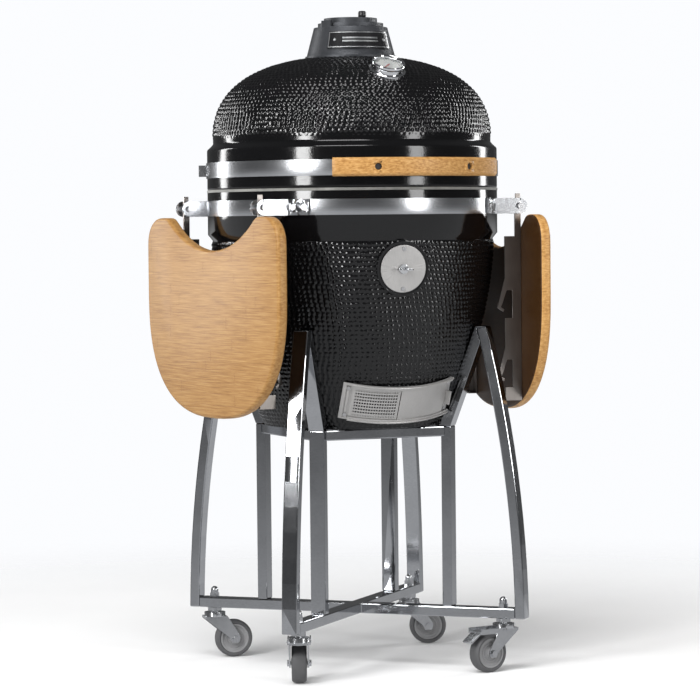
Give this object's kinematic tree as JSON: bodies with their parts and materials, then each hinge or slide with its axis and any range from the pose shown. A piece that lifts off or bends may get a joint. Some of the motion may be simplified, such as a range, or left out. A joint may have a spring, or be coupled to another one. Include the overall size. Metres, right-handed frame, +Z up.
{
  "type": "kamado ceramic grill",
  "caption": "Free-standing egg-shaped ceramic charcoal grill with a hinged dome, folding bamboo side shelves, draft door and top damper, in a polished steel stand on casters.",
  "frame": {"origin": "on the floor, under the axis of the ceramic body, at the middle of the whole grill's box", "axes": "+Z up, +X to the right of someone who faces the grill, -Y towards that person (the handle and draft door are at -Y, the lid hinge at +Y)"},
  "size_m": [0.7018, 0.644, 1.2856],
  "materials": {
    "glaze": "gloss black glaze, pebbled",
    "felt": "woven gasket",
    "brushed_band": "brushed round the rim",
    "cast_iron": "satin, grainy",
    "black_knob": "satin black",
    "badge": "black with bright border",
    "chrome": "polished",
    "dial": "white",
    "needle": "red",
    "clear_glass": "clear",
    "bamboo": "oiled bamboo, horizontal grain",
    "dark_steel": "dark",
    "satin_steel": "satin",
    "screw_steel": "bright",
    "bright_steel": "bright zinc",
    "fire_clay": "unglazed",
    "mirror_steel": "mirror polished stainless",
    "hub_plastic": "grey",
    "tyre_rubber": "dark grey"
  },
  "bodies": {
    "root": {"bowl": "glaze", "rim_gasket": "felt", "lower_band": "brushed_band", "port_cover": "satin_steel", "port_screws": "screw_steel", "draft_frame": "satin_steel", "draft_screws": "screw_steel", "left_brackets": "bright_steel", "right_brackets": "bright_steel", "bracket_bolts": "screw_steel", "fire_box": "fire_clay", "fire_ring": "fire_clay", "charcoal_grate": "cast_iron", "cooking_grate": "satin_steel", "hinge_bracket": "bright_steel", "hinge_pin": "bright_steel", "hinge_springs": "dark_steel", "outer_bars": "mirror_steel", "cradle_bars": "mirror_steel", "posts": "mirror_steel", "ring_bars": "mirror_steel", "base_bars": "mirror_steel", "caster_stems": "bright_steel"},
    "lid": {"dome": "glaze", "upper_band": "brushed_band", "chimney": "cast_iron", "chimney_badge": "badge", "thermometer_case": "chrome", "thermometer_dial": "dial", "thermometer_glass": "clear_glass", "handle_bar": "bamboo", "handle_standoffs": "chrome", "handle_screws": "dark_steel", "hinge_arms": "bright_steel"},
    "damper": {"chimney_disc": "cast_iron", "disc_knob": "black_knob"},
    "needle": {"thermometer_needle": "needle"},
    "port_knob": {"port_knob": "chrome"},
    "draft_door": {"draft_slider": "satin_steel"},
    "draft_screen": {"draft_mesh": "satin_steel"},
    "left_pivot": {"left_pivots": "screw_steel"},
    "right_pivot": {"right_pivots": "screw_steel"},
    "left_shelf": {"left_board": "bamboo", "left_rails": "satin_steel"},
    "right_shelf": {"right_board": "bamboo", "right_rails": "satin_steel"},
    "swivel_fl": {"fork_fl": "bright_steel"},
    "wheel_fl": {"wheel_fl": "hub_plastic", "tyre_fl": "tyre_rubber"},
    "brake_fl": {"brake_fl": "bright_steel"},
    "swivel_fr": {"fork_fr": "bright_steel"},
    "wheel_fr": {"wheel_fr": "hub_plastic", "tyre_fr": "tyre_rubber"},
    "brake_fr": {"brake_fr": "bright_steel"},
    "swivel_bl": {"fork_bl": "bright_steel"},
    "wheel_bl": {"wheel_bl": "hub_plastic", "tyre_bl": "tyre_rubber"},
    "swivel_br": {"fork_br": "bright_steel"},
    "wheel_br": {"wheel_br": "hub_plastic", "tyre_br": "tyre_rubber"}
  },
  "joints": [
    {"name": "lid_hinge", "type": "hinge", "parent": "root", "child": "lid", "pos_m": [0, 0.31, 0.938], "axis": [-1, 0, 0], "range_deg": [0, 70]},
    {"name": "damper_turn", "type": "hinge", "parent": "lid", "child": "damper", "pos_m": [0, 0, 1.25152], "axis": [0, 0, 1], "continuous": true},
    {"name": "needle_turn", "type": "hinge", "parent": "lid", "child": "needle", "pos_m": [-0.01398, -0.19995, 1.157], "axis": [-0.0338, -0.4836, 0.8746], "range_deg": [-270, 0]},
    {"name": "port_knob_turn", "type": "hinge", "parent": "root", "child": "port_knob", "pos_m": [-0.01893, -0.27077, 0.783], "axis": [-0.0693, -0.9915, -0.1096], "range_deg": [0, 90]},
    {"name": "draft_slide", "type": "hinge", "parent": "root", "child": "draft_door", "pos_m": [0, -0.00867, 0.61086], "axis": [0, -0.4067, 0.9135], "range_deg": [-25, 0]},
    {"name": "mesh_slide", "type": "hinge", "parent": "root", "child": "draft_screen", "pos_m": [0, -0.00867, 0.61086], "axis": [0, -0.4067, 0.9135], "range_deg": [0, 25]},
    {"name": "left_shelf_hinge", "type": "hinge", "parent": "root", "child": "left_pivot", "pos_m": [-0.2895, -0.03811, 0.9], "axis": [-0.1305, 0.9914, 0], "range_deg": [0, 90]},
    {"name": "left_shelf_lock", "type": "slide", "parent": "left_pivot", "child": "left_shelf", "axis": [0, 0, 1], "range_m": [0, 0.012]},
    {"name": "right_shelf_hinge", "type": "hinge", "parent": "root", "child": "right_pivot", "pos_m": [0.2895, -0.03811, 0.9], "axis": [-0.1305, -0.9914, 0], "range_deg": [0, 90]},
    {"name": "right_shelf_lock", "type": "slide", "parent": "right_pivot", "child": "right_shelf", "axis": [0, 0, 1], "range_m": [0, 0.012]},
    {"name": "swivel_fl", "type": "hinge", "parent": "root", "child": "swivel_fl", "pos_m": [-0.21567, -0.21567, 0.09], "axis": [0, 0, 1], "continuous": true},
    {"name": "roll_fl", "type": "hinge", "parent": "swivel_fl", "child": "wheel_fl", "pos_m": [-0.20021, -0.18095, 0.0375], "axis": [-0.9135, 0.4067, 0], "continuous": true},
    {"name": "brake_fl", "type": "hinge", "parent": "swivel_fl", "child": "brake_fl", "pos_m": [-0.20997, -0.20288, 0.0815], "axis": [-0.9135, 0.4067, 0], "range_deg": [0, 6]},
    {"name": "swivel_fr", "type": "hinge", "parent": "root", "child": "swivel_fr", "pos_m": [0.21567, -0.21567, 0.09], "axis": [0, 0, 1], "continuous": true},
    {"name": "roll_fr", "type": "hinge", "parent": "swivel_fr", "child": "wheel_fr", "pos_m": [0.17824, -0.22227, 0.0375], "axis": [0.1736, -0.9848, 0], "continuous": true},
    {"name": "brake_fr", "type": "hinge", "parent": "swivel_fr", "child": "brake_fr", "pos_m": [0.20188, -0.2181, 0.0815], "axis": [0.1736, -0.9848, 0], "range_deg": [0, 6]},
    {"name": "swivel_bl", "type": "hinge", "parent": "root", "child": "swivel_bl", "pos_m": [-0.21567, 0.21567, 0.09], "axis": [0, 0, 1], "continuous": true},
    {"name": "roll_bl", "type": "hinge", "parent": "swivel_bl", "child": "wheel_bl", "pos_m": [-0.17804, 0.21038, 0.0375], "axis": [0.1392, 0.9903, 0], "continuous": true},
    {"name": "swivel_br", "type": "hinge", "parent": "root", "child": "swivel_br", "pos_m": [0.21567, 0.21567, 0.09], "axis": [0, 0, 1], "continuous": true},
    {"name": "roll_br", "type": "hinge", "parent": "swivel_br", "child": "wheel_br", "pos_m": [0.25138, 0.20267, 0.0375], "axis": [0.342, 0.9397, 0], "continuous": true}
  ]
}
